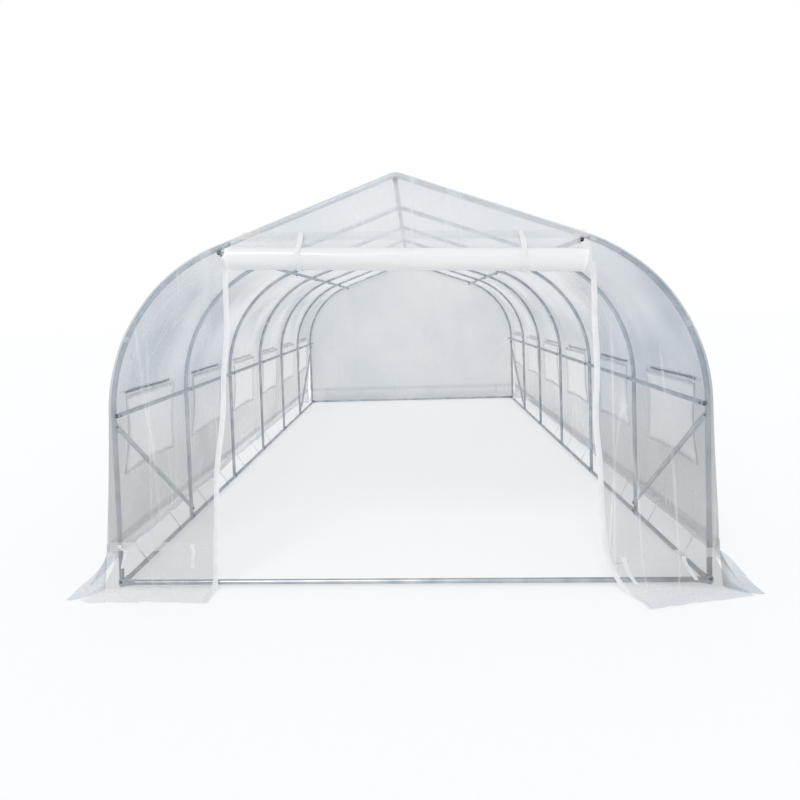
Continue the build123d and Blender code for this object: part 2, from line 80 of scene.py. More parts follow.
# A skirt has its full folds from this far down, and nothing lies lower than the ground gap
SKIRT_FOLDED = 0.3
GROUND_GAP = 0.0025

ACROSS, ALONG, UP = Vector((1, 0, 0)), Vector((0, 1, 0)), Vector((0, 0, 1))


def place_camera():
    yaw, pitch, roll = (math.radians(a) for a in (CAMERA_YAW, CAMERA_PITCH, CAMERA_ROLL))
    right = Vector((math.cos(yaw), math.sin(yaw), 0))
    look = Vector((-math.sin(yaw) * math.cos(pitch), math.cos(yaw) * math.cos(pitch), math.sin(pitch)))
    up = right.cross(look)
    turned_right = right * math.cos(roll) - up * math.sin(roll)
    turned_up = right * math.sin(roll) + up * math.cos(roll)
    data = bpy.data.cameras.new("camera")
    data.sensor_fit = "HORIZONTAL"
    data.sensor_width = SENSOR
    data.lens = SENSOR * FOCAL / PICTURE
    data.shift_x = (PICTURE / 2 - CENTRE_X) / PICTURE
    data.shift_y = (CENTRE_Y - PICTURE / 2) / PICTURE
    data.clip_end = 200
    camera = bpy.data.objects.new("camera", data)
    bpy.context.collection.objects.link(camera)
    turn = Matrix((turned_right, turned_up, -look)).transposed().to_4x4()
    camera.matrix_world = Matrix.Translation(CAMERA_AT) @ turn
    bpy.context.scene.camera = camera


place_camera()


# Shapes
def section(s, offset=FILM):
    """Point and outward normal on the right half of the cover, s metres up from the ground."""
    r = BOW_R + offset
    arc = r * BOW_END
    if s <= WAIST:
        return POST_X + offset, s, 1.0, 0.0
    if s <= WAIST + arc:
        a = (s - WAIST) / r
        return ARC_X + r * math.cos(a), WAIST + r * math.sin(a), math.cos(a), math.sin(a)
    ridge_r = RIDGE_R + offset
    x0, z0 = ARC_X + r * math.cos(BOW_END), WAIST + r * math.sin(BOW_END)
    x1, z1 = ridge_r * math.cos(BOW_END), RIDGE_ARC_Z + ridge_r * math.sin(BOW_END)
    run = math.hypot(x1 - x0, z1 - z0)
    t = s - WAIST - arc
    if t <= run:
        k = t / run
        return x0 + (x1 - x0) * k, z0 + (z1 - z0) * k, math.cos(BOW_END), math.sin(BOW_END)
    a = min(BOW_END + (t - run) / ridge_r, math.pi / 2)
    return ridge_r * math.cos(a), RIDGE_ARC_Z + ridge_r * math.sin(a), math.cos(a), math.sin(a)


# Length of that half, from the ground to the ridge
RIDGE_S = (
    WAIST
    + (BOW_R + FILM) * BOW_END
    + math.hypot(
        SHOULDER_X + FILM * math.cos(BOW_END) - (RIDGE_R + FILM) * math.cos(BOW_END),
        SHOULDER_Z + FILM * math.sin(BOW_END) - RIDGE_ARC_Z - (RIDGE_R + FILM) * math.sin(BOW_END),
    )
    + (RIDGE_R + FILM) * (math.pi / 2 - BOW_END)
)


class Path:
    """A rounded line through flat points, walked by its length."""

    def __init__(self, points, rounds=3):
        for _ in range(rounds):
            cut = [points[0]]
            for a, b in zip(points[:-1], points[1:]):
                cut.append((a[0] * 0.75 + b[0] * 0.25, a[1] * 0.75 + b[1] * 0.25))
                cut.append((a[0] * 0.25 + b[0] * 0.75, a[1] * 0.25 + b[1] * 0.75))
            cut.append(points[-1])
            points = cut
        self.points = points
        self.at = [0.0]
        for a, b in zip(points[:-1], points[1:]):
            self.at.append(self.at[-1] + math.dist(a, b))
        self.length = self.at[-1]

    def __call__(self, d):
        d = min(max(d, 0.0), self.length)
        for i in range(1, len(self.at)):
            if d <= self.at[i]:
                k = (d - self.at[i - 1]) / max(self.at[i] - self.at[i - 1], 1e-9)
                a, b = self.points[i - 1], self.points[i]
                return a[0] + (b[0] - a[0]) * k, a[1] + (b[1] - a[1]) * k
        return self.points[-1]


# Skirts as (out from the wall, height), walked down from the hem
side_fall = Path([(0, HEM), (0.004, 0.17), (0.085, 0.08), (0.165, 0.004), (0.235, 0.003)])
front_fall = Path([(0, HEM), (0.003, 0.08), (0.02, 0.02), (0.07, 0.004), (0.19, 0.003)])
back_fall = Path([(0, HEM), (0.01, 0.12), (0.06, 0.035), (0.13, 0.004), (0.21, 0.003)])


def smooth(t):
    t = min(max(t, 0.0), 1.0)
    return t * t * (3 - 2 * t)


def rough(x, y, z):
    return noise.noise(Vector((x, y, z)))


def ridged(x, y, z):
    """A few sharp folds and much flat film between them."""
    return max(0.0, 1 - 5 * abs(noise.noise(Vector((x, y, z)))))


def slack(y, s, side):
    """Where a point of the wall goes because the film hangs slack round a window."""
    for i, middle in enumerate(WINDOWS):
        away = y - middle
        if abs(away) < 0.49 and 0.4 < s < 1.1:
            t = (s - WIN_LOW) / (WIN_HIGH - WIN_LOW)
            swing = rough(i * 3.7, side * 5.1, 2.0)
            reach = 1.0 if abs(away) < WIN_HALF else math.exp(-(abs(away) - WIN_HALF) / 0.07)
            if 0 <= t <= 1:
                pull = (0.035 + 0.02 * swing) * math.sin(math.pi * t) ** 1.2
                y -= pull * reach * away / max(abs(away), WIN_HALF)
            edge = math.exp(-abs(s - WIN_LOW) / 0.07)
            s += edge * reach * (0.016 * math.cos(away / WIN_HALF * 1.5) + 0.035 * swing * away / WIN_HALF)
            break
    return y, s


def side_skirt_point(side, down, y, hang, lift, bulge, folds):
    """A point of a side skirt, down metres below the hem, with its ends hanging to the ground."""
    out, z = side_fall(down)
    away = min(down / SKIRT_FOLDED, 1.0)
    out += away * (0.02 * rough(y * 3.1, side, 0.3) + 0.008 * rough(y * 9, side, 1.3))
    z += 0.020 * max(0.0, rough(y * 6.5, side * 2, down * 7)) * away
    out += bulge * (1 - 0.85 * away) + folds * (1 - away)
    y += 0.012 * away * rough(y * 4, side * 3, 7.0)
    end = away * smooth((abs(y) - 2.6) / 0.4)
    out -= 0.055 * end
    y += math.copysign((0.05 if side < 0 else 0.01) * end, y)
    if hang:
        drop = min(hang, z)
        z -= drop
        y += math.copysign(0.15 * drop + 0.55 * (hang - drop), y)
    return Vector((side * (POST_X + FILM + out + lift * 0.7), y, max(z, GROUND_GAP) + lift * 0.7))


def cover_point(side, s, y, lift=0.0):
    """A point on the side cover, with its sag and folds. s under HEM runs out along the skirt."""
    hang = max(abs(y) - END_Y, 0.0)
    y = math.copysign(min(abs(y), END_Y), y)
    y, s = slack(y, s, side)
    bulge = WALL_BULGE[side] * smooth(1 - s / 1.0) + 0.004 * smooth(1 - s / 1.3)
    folds = 0.0025 * rough(y * 6, s * 1.1, side * 3) + 0.005 * rough(y * 2.2 + s * 2, s * 3 - y, side * 9)
    folds += 0.004 * ridged(y * 2.6 + s * 1.2, s * 0.9 - y * 0.5, side * 4.0)
    if s < HEM:
        return side_skirt_point(side, HEM - s, y, hang, lift, bulge, folds)
    t = ((y + HOOP_Y) / BAY) % 1.0
    free = math.sin(math.pi * t) if abs(y) < HOOP_Y else 0.0
    x, z, nx, nz = section(s)
    over = smooth((s - WAIST) / 0.6)
    sag = -0.016 * free**1.4 * over
    calm = 0.25 + 0.75 * free
    shift = bulge + sag + folds * calm + lift
    if s > WAIST - 0.1:
        shift = max(shift, lift + (-0.0012 if free < 0.2 else -0.019))
    centre = smooth((RIDGE_S - s) / 0.05)
    return Vector((side * (x + nx * shift * centre), y, z + nz * shift))


def grid(name, across, along, place, keep=None):
    """A grid with stations across and along, each vertex put where place says, and its flat area."""
    bm = bmesh.new()
    nu, nv = len(across) - 1, len(along) - 1
    bmesh.ops.create_grid(bm, x_segments=nu, y_segments=nv, size=1.0)
    uv = bm.loops.layers.uv.new("flat")
    where = {}
    for v in bm.verts:
        i = round((v.co.x + 1) / 2 * nu)
        j = round((v.co.y + 1) / 2 * nv)
        where[v] = (across[i], along[j])
    gone = []
    area = 0.0
    for f in bm.faces:
        us = [where[v][0] for v in f.verts]
        vs = [where[v][1] for v in f.verts]
        if keep and not keep(sum(us) / 4, sum(vs) / 4):
            gone.append(f)
            continue
        area += (max(us) - min(us)) * (max(vs) - min(vs))
        for loop in f.loops:
            loop[uv].uv = where[loop.vert]
    for v in bm.verts:
        v.co = place(*where[v])
    bmesh.ops.delete(bm, geom=gone, context="FACES")
    return finished(name, bm), area


def finished(name, bm, flat=False):
    for f in bm.faces:
        f.smooth = not flat
    mesh = bpy.data.meshes.new(name)
    bm.to_mesh(mesh)
    bm.free()
    o = bpy.data.objects.new(name, mesh)
    bpy.context.collection.objects.link(o)
    return o


def steps(a, b, step, also=()):
    """Even stations from a to b, with the given ones among them."""
    marks = sorted({a, b, *[m for m in also if min(a, b) < m < max(a, b)]}, reverse=b < a)
    out = [marks[0]]
    for p, q in zip(marks[:-1], marks[1:]):
        n = max(1, round(abs(q - p) / step))
        out += [p + (q - p) * (i + 1) / n for i in range(n)]
    return out


def spans(stations):
    """Each pair of neighbouring stations."""
    return zip(stations[:-1], stations[1:])


def joined(name, parts):
    bpy.ops.object.select_all(action="DESELECT")
    for p in parts:
        p.select_set(True)
    bpy.context.view_layer.objects.active = parts[0]
    if len(parts) > 1:
        bpy.ops.object.join()
    parts[0].name = name
    parts[0].data.name = name
    return parts[0]


def dress(o, look):
    o.data.materials.clear()
    o.data.materials.append(look)
    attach(o, "root")
    return o


def strips(name, runs, look):
    """Flat strips in one piece, each of points, the direction of its width and its width.

    Gives the piece and the whole length of its strips."""
    parts, length = [], 0.0
    for points, side, width in runs:
        strip, _ = grid(
            "strip",
            list(range(len(points))),
            [-0.5, -0.17, 0.17, 0.5],
            lambda i, k: points[int(i)] + side * (width * k),
        )
        parts.append(strip)
        length += sum((b - a).length for a, b in spans(points))
    return dress(joined(name, parts), look), length


# Materials
def material(name):
    m = bpy.data.materials.new(name)
    m.use_nodes = True
    nt = m.node_tree
    return m, nt, nt.nodes["Principled BSDF"], nt.nodes["Material Output"]


def texture(nt, kind, scale, detail=3.0, stretch=(1, 1, 1)):
    """A procedural texture in the piece's own coordinates."""
    coord = nt.nodes.new("ShaderNodeTexCoord")
    mapping = nt.nodes.new("ShaderNodeMapping")
    mapping.inputs["Scale"].default_value = stretch
    nt.links.new(coord.outputs["Object"], mapping.inputs["Vector"])
    tex = nt.nodes.new(kind)
    tex.inputs["Scale"].default_value = scale
    if "Detail" in tex.inputs:
        tex.inputs["Detail"].default_value = detail
    nt.links.new(mapping.outputs["Vector"], tex.inputs["Vector"])
    return tex


def ramp(nt, source, low, high, a, b):
    r = nt.nodes.new("ShaderNodeMapRange")
    r.inputs["From Min"].default_value = low
    r.inputs["From Max"].default_value = high
    r.inputs["To Min"].default_value = a
    r.inputs["To Max"].default_value = b
    nt.links.new(source, r.inputs["Value"])
    return r.outputs["Result"]


def mixed(nt, factor, a, b):
    """Two colours blended, each of them a socket or plain numbers."""
    mix = nt.nodes.new("ShaderNodeMix")
    mix.data_type = "RGBA"
    nt.links.new(factor, mix.inputs["Factor"])
    for name, colour in (("A", a), ("B", b)):
        if isinstance(colour, tuple):
            mix.inputs[name].default_value = (*colour, 1)
        else:
            nt.links.new(colour, mix.inputs[name])
    return mix.outputs["Result"]


def maths(nt, kind, first, second=None, clamp=False):
    node = nt.nodes.new("ShaderNodeMath")
    node.operation = kind
    node.use_clamp = clamp
    for socket, value in zip(node.inputs, (first, second)):
        if isinstance(value, (int, float)):
            socket.default_value = value
        elif value is not None:
            nt.links.new(value, socket)
    return node.outputs[0]


def blended(nt, factor, first, second):
    """Two shaders blended by a number or a socket."""
    mix = nt.nodes.new("ShaderNodeMixShader")
    if isinstance(factor, float):
        mix.inputs["Fac"].default_value = factor
    else:
        nt.links.new(factor, mix.inputs["Fac"])
    nt.links.new(first, mix.inputs[1])
    nt.links.new(second, mix.inputs[2])
    return mix.outputs["Shader"]


def lit_through(nt, bsdf, colour, share):
    """A surface that lets a share of the light from behind shine through."""
    through = nt.nodes.new("ShaderNodeBsdfTranslucent")
    nt.links.new(colour, through.inputs["Color"])
    return blended(nt, share, bsdf.outputs["BSDF"], through.outputs["BSDF"])


def see_through(nt, out, solid, body, clear=(1, 1, 1)):
    """Ends a material that is part surface and part clear."""
    see = nt.nodes.new("ShaderNodeBsdfTransparent")
    see.inputs["Color"].default_value = (*clear, 1)
    nt.links.new(blended(nt, solid, see.outputs["BSDF"], body), out.inputs["Surface"])


def bumped(nt, bsdf, height, strength, distance):
    b = nt.nodes.new("ShaderNodeBump")
    b.inputs["Strength"].default_value = strength
    b.inputs["Distance"].default_value = distance
    nt.links.new(height, b.inputs["Height"])
    nt.links.new(b.outputs["Normal"], bsdf.inputs["Normal"])


def cloudy(nt, scale, detail, a, b):
    """Two colours in soft clouds."""
    cloud = texture(nt, "ShaderNodeTexNoise", scale, detail).outputs["Fac"]
    return mixed(nt, ramp(nt, cloud, 0.3, 0.7, 0.0, 1.0), a, b)


def shaded(colour, share):
    return tuple(v * share for v in colour)


def streaks(nt, turn, scale, width):
    """Long soft creases that run one way through the film, from 0 to 1."""
    tex = texture(nt, "ShaderNodeTexNoise", scale, 0.5, (1.0, 1.0, 0.06))
    tex.inputs["Distortion"].default_value = 0.25
    tex.inputs["Vector"].links[0].from_node.inputs["Rotation"].default_value = turn
    away = maths(nt, "ABSOLUTE", maths(nt, "SUBTRACT", tex.outputs["Fac"], 0.5))
    return ramp(nt, away, 0.0, width, 1.0, 0.0)


def film_folds(nt, patch, creased):
    """The film's creases in three directions, strong in some patches and absent in others."""
    long_folds = streaks(nt, (0.55, 0.45, 0.3), 5.0, 0.035)
    cross_folds = streaks(nt, (-0.7, -0.5, 0.2), 4.0, 0.025)
    fine_folds = maths(nt, "MULTIPLY", streaks(nt, (0.25, -0.2, 0.9), 12.0, 0.02), 0.15)
    folds = maths(nt, "MAXIMUM", maths(nt, "MAXIMUM", long_folds, cross_folds), fine_folds)
    return maths(nt, "MULTIPLY", folds, ramp(nt, patch, 0.42, 0.58, 0.0, creased))


def painted_light_by_height(nt, shade, colour, low):
    """Painted shade, darker film low on the walls where dark ground shows through, and painted light, paler
    film on the roof and the skirts.
    """
    place = nt.nodes.new("ShaderNodeSeparateXYZ")
    coord = nt.nodes.new("ShaderNodeTexCoord")
    nt.links.new(coord.outputs["Object"], place.inputs["Vector"])
    # Painted shade: darker, warmer film low on the walls, for the dark ground seen through it; the skirts
    # are left out of it.
    painted_low_shade = ramp(nt, place.outputs["Z"], 1.15, 0.55, 0.0, 1.0)
    beyond_x = maths(nt, "SUBTRACT", maths(nt, "ABSOLUTE", place.outputs["X"]), 1.545)
    beyond_y = maths(nt, "SUBTRACT", maths(nt, "ABSOLUTE", place.outputs["Y"]), 3.03)
    off_skirt = ramp(nt, maths(nt, "MAXIMUM", beyond_x, beyond_y), 0.0, 0.03, 1.0, 0.0)
    tone = mixed(nt, shade, low, shaded(low, 1.2))
    colour = mixed(nt, maths(nt, "MULTIPLY", painted_low_shade, off_skirt), colour, tone)
    # Painted light: paler film high up, where light falls from above; the skirts are made paler in the same
    # mix.
    painted_overhead_light = ramp(nt, place.outputs["Z"], 1.5, 1.8, 0.0, 0.85)
    skirt = ramp(nt, off_skirt, 0.0, 1.0, 0.6, 0.0)
    return mixed(nt, maths(nt, "MAXIMUM", painted_overhead_light, skirt), colour, (0.82, 0.84, 0.86))


def film_material(name, pale, deep, clear, opacity, creased=1.0, bump=0.3, low=None, glow=0.4):
    """Thin plastic film, part clear and part milky, cloudy in a blue-grey that is partly a painted sky
    reflection, and whiter along its soft creases as painted highlight.
    """
    m, nt, bsdf, out = material(name)
    cloud = texture(nt, "ShaderNodeTexNoise", 1.5, 2.5, (1.0, 1.0, 0.8)).outputs["Fac"]
    patch = texture(nt, "ShaderNodeTexNoise", 1.7, 1.0).outputs["Fac"]
    folds = film_folds(nt, patch, creased)
    # The clouds make the film unevenly milky, and their blue-grey is partly a painted reflection of the sky.
    shade = ramp(nt, cloud, 0.38, 0.62, 0.0, 1.0)
    colour = mixed(nt, shade, deep, pale)
    # Painted shade low on the walls and painted light on the roof, when a low colour is given.
    if low:
        colour = painted_light_by_height(nt, shade, colour, low)
    # Painted highlight: the film is made whiter along its creases.
    colour = mixed(nt, maths(nt, "MULTIPLY", folds, 0.75), colour, (0.9, 0.92, 0.93))
    nt.links.new(colour, bsdf.inputs["Base Color"])
    bsdf.inputs["Roughness"].default_value = 0.3
    bsdf.inputs["Sheen Weight"].default_value = 0.5
    bsdf.inputs["Sheen Roughness"].default_value = 0.35
    bumped(nt, bsdf, maths(nt, "ADD", maths(nt, "MULTIPLY", folds, 0.5), patch), bump, 0.015)
    solid = ramp(nt, cloud, 0.35, 0.65, opacity + 0.06, opacity - 0.06)
    solid = maths(nt, "ADD", solid, maths(nt, "MULTIPLY", folds, 0.2), True)
    see_through(nt, out, solid, lit_through(nt, bsdf, colour, glow), clear)
    return m


def steel_material(name, colour, deep):
    """Galvanised steel with a faint spangle."""
    m, nt, bsdf, _ = material(name)
    spangle = texture(nt, "ShaderNodeTexVoronoi", 90.0).outputs["Distance"]
    nt.links.new(cloudy(nt, 9.0, 4.0, deep, colour), bsdf.inputs["Base Color"])
    bsdf.inputs["Metallic"].default_value = 0.85
    nt.links.new(ramp(nt, spangle, 0.0, 0.6, 0.24, 0.36), bsdf.inputs["Roughness"])
    return m


def cloth_material(name, colour, roughness, weave, see):
    """Woven plastic, with a fine weave and some of it open."""
    m, nt, bsdf, out = material(name)
    tone = cloudy(nt, 20.0, 3.0, colour, shaded(colour, 0.93))
    nt.links.new(tone, bsdf.inputs["Base Color"])
    bsdf.inputs["Roughness"].default_value = roughness
    bumped(nt, bsdf, texture(nt, "ShaderNodeTexWave", weave, 0.0).outputs["Fac"], 0.2, 0.0005)
    see_through(nt, out, 1 - see, lit_through(nt, bsdf, tone, 0.35))
    return m


def flap_material(name, colour):
    """Film wound in a roll: its outer turn shows, and light passes through the turns inside."""
    m, nt, bsdf, out = material(name)
    tone = cloudy(nt, 12.0, 3.0, colour, shaded(colour, 0.94))
    nt.links.new(tone, bsdf.inputs["Base Color"])
    bsdf.inputs["Roughness"].default_value = 0.35
    flat = nt.nodes.new("ShaderNodeUVMap")
    flat.uv_map = "flat"
    place = nt.nodes.new("ShaderNodeSeparateXYZ")
    nt.links.new(flat.outputs["UV"], place.inputs["Vector"])
    solid = ramp(nt, place.outputs["Y"], 0.18, 0.26, 0.26, 0.01)
    see_through(nt, out, solid, lit_through(nt, bsdf, tone, 0.55))
    return m


CLEAR = (0.95, 0.96, 0.97)
# The low colours are painted shade for the foot of the walls, where dark ground shows through the film.
film_look = film_material(
    "film", (0.62, 0.65, 0.69), (0.17, 0.24, 0.31), (0.93, 0.945, 0.96), 0.43, low=(0.32, 0.31, 0.305)
)
front_look = film_material(
    "front_film", (0.66, 0.69, 0.72), (0.34, 0.41, 0.48), CLEAR, 0.31, low=(0.37, 0.355, 0.345)
)
gable_look = film_material("gable_film", (0.95, 0.955, 0.96), (0.84, 0.87, 0.90), (0.98, 0.985, 0.99), 0.54)
back_look = film_material("back_film", (0.86, 0.87, 0.88), (0.82, 0.84, 0.86), CLEAR, 0.84, 0.12, 0.1)
roll_look = film_material(
    "rolled_film", (0.94, 0.94, 0.935), (0.86, 0.865, 0.86), CLEAR, 0.93, 0.1, 0.1, glow=0.06
)
flap_look = flap_material("flap_film", (0.96, 0.965, 0.97))
band_look = film_material("hem_film", (0.93, 0.93, 0.94), (0.86, 0.87, 0.88), CLEAR, 0.5)
steel = steel_material("galvanised_steel", (0.64, 0.67, 0.70), (0.40, 0.44, 0.48))
pale_steel = steel_material("pale_steel", (0.72, 0.75, 0.77), (0.50, 0.54, 0.57))
webbing = cloth_material("webbing", (0.97, 0.97, 0.97), 0.75, 700.0, 0.06)
net = cloth_material("window_mesh", (0.96, 0.965, 0.97), 0.8, 400.0, 0.28)
dark = steel_material("bolt_steel", (0.22, 0.24, 0.27), (0.14, 0.15, 0.17))

for name, o in nodes.items():
    if o.type == "MESH":
        o.data.materials.clear()
        o.data.materials.append(pale_steel if name.endswith("braces") else steel)

# Side cover: one sheet from skirt to skirt over the ridge, with its windows cut out
APRON = 0.16
COVER_STEP = 0.027
skirt_s = HEM - side_fall.length
s_marks = [WIN_LOW, WIN_HIGH, HEM, WAIST, WAIST + BOW_R * BOW_END]
y_marks = [m + k * WIN_HALF for m in WINDOWS for k in (-1, 1)] + HOOPS + [-END_Y, END_Y]
half = steps(skirt_s, RIDGE_S, COVER_STEP, s_marks)
across = [-(RIDGE_S - s) for s in half] + [RIDGE_S - s for s in reversed(half[:-1])]
along = steps(-END_Y - APRON, END_Y + APRON, COVER_STEP, y_marks)


def cover_place(u, y):
    p = cover_point(-1 if u < 0 else 1, RIDGE_S - abs(u), y)
    if u == 0:
        p.x = 0
    return p


def not_window(u, y):
    s = RIDGE_S - abs(u)
    if abs(y) > END_Y:
        return s < HEM
    return not (WIN_LOW < s < WIN_HIGH and any(abs(y - m) < WIN_HALF for m in WINDOWS))


cover, cover_area = grid("cover", across, along, cover_place, not_window)
dress(cover, film_look)
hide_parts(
    "left_wall_film",
    "right_wall_film",
    "left_bow_film",
    "right_bow_film",
    "left_roof_film",
    "right_roof_film",
    "left_skirt",
    "right_skirt",
)

# Window meshes, which reach a little under the film all round
NET_MARGIN = 0.012


def net_point(side, middle, a, b):
    """A point of a mesh, a metres from its middle and b up the wall, hanging a little inward."""
    p = cover_point(side, b, middle + a, -0.003)
    up = min(max((b - WIN_LOW) / (WIN_HIGH - WIN_LOW), 0), 1)
    k = math.cos(a / WIN_HALF * 1.5) * math.sin(math.pi * up)
    p.x -= side * 0.012 * max(k, 0) * (1 + rough(middle, a * 4, b * 4))
    return p


for side, word in SIDES:
    us = steps(-WIN_HALF - NET_MARGIN, WIN_HALF + NET_MARGIN, 0.03)
    vs = steps(WIN_LOW - NET_MARGIN, WIN_HIGH + NET_MARGIN, 0.03)
    parts = [grid("part", us, vs, lambda a, b: net_point(side, middle, a, b))[0] for middle in WINDOWS]
    nets = joined(word + "_window_nets", parts)
    dress(nets, net)
    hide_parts(word + "_window_meshes")

# Tapes round the windows
TAPE = 0.024
for side, word in SIDES:
    runs = []
    for middle in WINDOWS:
        for edge in (-WIN_HALF, WIN_HALF):
            heights = steps(WIN_LOW - 0.01, WIN_HIGH + 0.01, 0.03)
            runs.append(([cover_point(side, s, middle + edge, 0.0025) for s in heights], ALONG, TAPE))
        for level in (WIN_LOW, WIN_HIGH):
            widths = steps(-WIN_HALF, WIN_HALF, 0.03)
            runs.append(([cover_point(side, level, middle + a, 0.003) for a in widths], UP, TAPE))
    tape, run = strips(word + "_window_tapes", runs, webbing)

# Window flaps, each a loose spiral of film over its window
FLAP_R = 0.017
FLAP_TURNS = 4.2
FLAP_TAPER = 0.72


def flap_point(side, i, middle, a, t):
    """A point of a rolled flap, a metres from its middle and t of the way round its turns."""
    anchor = cover_point(side, WIN_HIGH + 0.03, middle + a, 0.004)
    angle = t * 2 * math.pi * FLAP_TURNS
    r = FLAP_R * (1 - FLAP_TAPER * t) * (1 + 0.12 * rough(a * 6, t * 3, i * 5.0))
    droop = 0.004 * rough(a * 3, i * 2.0, 0)
    centre = anchor + Vector((side * FLAP_R * 1.05, 0, -0.002 - droop))
    slip = 0.004 * math.sin(t * 9 + a * 5)
    return centre + Vector((-side * math.cos(angle) * r, slip, -math.sin(angle) * r))


for side, word in SIDES:
    us = steps(-WIN_HALF - NET_MARGIN, WIN_HALF + NET_MARGIN, 0.045)
    turns = [k / 60 for k in range(61)]
    parts = [
        grid("flap", us, turns, lambda a, t: flap_point(side, i, middle, a, t))[0]
        for i, middle in enumerate(WINDOWS)
    ]
    rolls = joined(word + "_flap_rolls", parts)
    dress(rolls, flap_look)
    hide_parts(word + "_window_flaps")

# Outline of the end panels
edge_points = [section(RIDGE_S * i / 400, PANEL)[:2] for i in range(401)]


def edge_x(z):
    """Half the width of an end panel at a height."""
    if z <= WAIST:
        return POST_X + PANEL
    for (xa, za), (xb, zb) in spans(edge_points):
        if za <= z <= zb:
            return xa + (xb - xa) * (z - za) / max(zb - za, 1e-9)
    return 0.0


def edge_z(x):
    """The height of the roof line over a place across."""
    x = abs(x)
    for (xa, za), (xb, zb) in spans(edge_points):
        if xb <= x <= xa and za > WAIST:
            return za + (zb - za) * (xa - x) / max(xa - xb, 1e-9)
    return edge_points[-1][1]


# The door end, as the part has it, hanging lower on the right
DOOR_TOP = {-1: SHOULDER_X - 0.067, 1: SHOULDER_X + 0.028}
DOOR_FOOT = SHOULDER_X + 0.070
SEAM_LEFT, SEAM_RIGHT = SHOULDER_Z + 0.056, SHOULDER_Z + 0.002
ROLL_R = 0.060
ROLL_START, ROLL_END = -DOOR_TOP[-1] + 0.005, DOOR_TOP[1] - 0.042
ROLL_START_Z, ROLL_END_Z = SEAM_LEFT - 0.112, SEAM_RIGHT - 0.128
ROLL_Y = 3.0126 + ROLL_R

# Each end sheet has its own folds, by the number that its noise starts from
LEFT_FOLDS, RIGHT_FOLDS, GABLE_FOLDS, BACK_FOLDS = 11.0, 23.0, 31.0, 41.0
FRONTS = ((-1, "left", LEFT_FOLDS), (1, "right", RIGHT_FOLDS))


def seam_z(x):
    return SEAM_LEFT + (SEAM_RIGHT - SEAM_LEFT) * (x + SHOULDER_X) / (2 * SHOULDER_X)


def roll_z(x):
    return ROLL_START_Z + (ROLL_END_Z - ROLL_START_Z) * (x - ROLL_START) / (ROLL_END - ROLL_START)


def door_x(side, z):
    """The door's edge at a height, bowed a little."""
    top = DOOR_TOP[side]
    t = min(max((z - HEM) / (seam_z(side * top) - HEM), 0), 1)
    wave = 0.008 * math.sin(z * 5 + side) + 0.004 * math.sin(z * 13)
    return DOOR_FOOT + (top - DOOR_FOOT) * t + wave * smooth(z / 0.4)


def end_folds(x, z, seed):
    """How far an end panel stands out from its plane, never inward of it."""
    a = 0.5 + 0.5 * rough(x * 2.3 + z, z * 1.6, seed)
    b = ridged(x * 2.2 + z * 1.3, z * 0.8 - x, seed + 3)
    c = 0.5 + 0.5 * rough(x * 3, z * 2.5, seed + 7)
    dx, dz = POST_X - abs(x), z - WAIST
    away = math.hypot(dx, dz)
    fan = ridged(math.atan2(dz, dx + 0.03) * 2.1, seed, 0.3 * away) * math.exp(-away / 0.5)
    return 0.006 * a + 0.006 * b + 0.002 * c + 0.012 * fan * smooth(dx / 0.1)


def front_skirt_point(side, k, down, seed):
    out, z = front_fall(down)
    away = min(down / SKIRT_FOLDED, 1.0)
    flare = smooth(down / 0.33 - 0.1)
    outer = POST_X + PANEL + 0.03 * smooth(away * 1.6) + (0.085 if side < 0 else 0.10) * flare
    inner = door_x(side, HEM)
    if side > 0:
        inner += 0.13 * away**1.5
        out += (0.05 * k - 0.075 * (1 - k)) * smooth(down / 0.33)
    else:
        inner += 0.01 * away
        out -= 0.03 * smooth(down / 0.33) * (1 - 0.4 * k)
    x = outer + (inner - outer) * k
    z += 0.022 * max(0.0, rough(x * 9, down * 11, seed)) * away
    out += 0.018 * rough(x * 4, seed, down * 3) * away
    y = -(END_Y + out + end_folds(side * x, HEM, seed) * (1 - away))
    return Vector((side * x, y, max(z, GROUND_GAP)))


def end_place(side, k, h, seed):
    """k runs from the outer edge to the door, h is the height, or under HEM the way along the skirt."""
    if h < HEM:
        return front_skirt_point(side, k, HEM - h, seed)
    outer = edge_x(h) + WALL_BULGE[side] * smooth(1 - h / 1.0) * 0.9
    x = outer + (door_x(side, h) - outer) * k
    return Vector((side * x, -(END_Y + end_folds(side * x, h, seed)), h))


# Front panels, each with its skirt, whose mean width is named here
SKIRT_MEAN = 0.56
for side, word, seed in FRONTS:
    top = DOOR_TOP[side]
    top_z = min(edge_z(top), seam_z(side * top)) - 0.001
    hs = steps(HEM - front_fall.length, top_z, 0.022, [HEM, WAIST])
    ks = steps(0.0, 1.0, 1 / 26)
    panel, _ = grid("front_" + word + "_sheet", ks, hs, lambda k, h: end_place(side, k, h, seed))
    dress(panel, front_look)
    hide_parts("front_" + word + "_film", "front_" + word + "_skirt")
    cut = 0.0
    for a, b in spans(hs):
        m = (a + b) / 2
        cut += (b - a) * ((edge_x(m) - door_x(side, m)) if m > HEM else SKIRT_MEAN)

# Gable over the seam
SEAM_LAP = 0.012


def gable_end(side):
    """How far out the seam meets the roof line."""
    return next(x / 1000 for x in range(1400, 0, -1) if edge_z(x / 1000) > seam_z(side * x / 1000))


def gable_place(x, k):
    low, high = seam_z(x) - SEAM_LAP, edge_z(x)
    z = low + (high - low) * k
    return Vector((x, -(END_Y + end_folds(x, z, GABLE_FOLDS)), z))


gable_left, gable_right = -gable_end(-1), gable_end(1)
gable_xs = steps(gable_left, gable_right, 0.022, [0.0])
gable, _ = grid("gable_sheet", gable_xs, steps(0.0, 1.0, 1 / 14), gable_place)
dress(gable, gable_look)
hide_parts("front_gable_film")
cut = sum((b - a) * (edge_z((a + b) / 2) - seam_z((a + b) / 2) + SEAM_LAP) for a, b in spans(gable_xs))


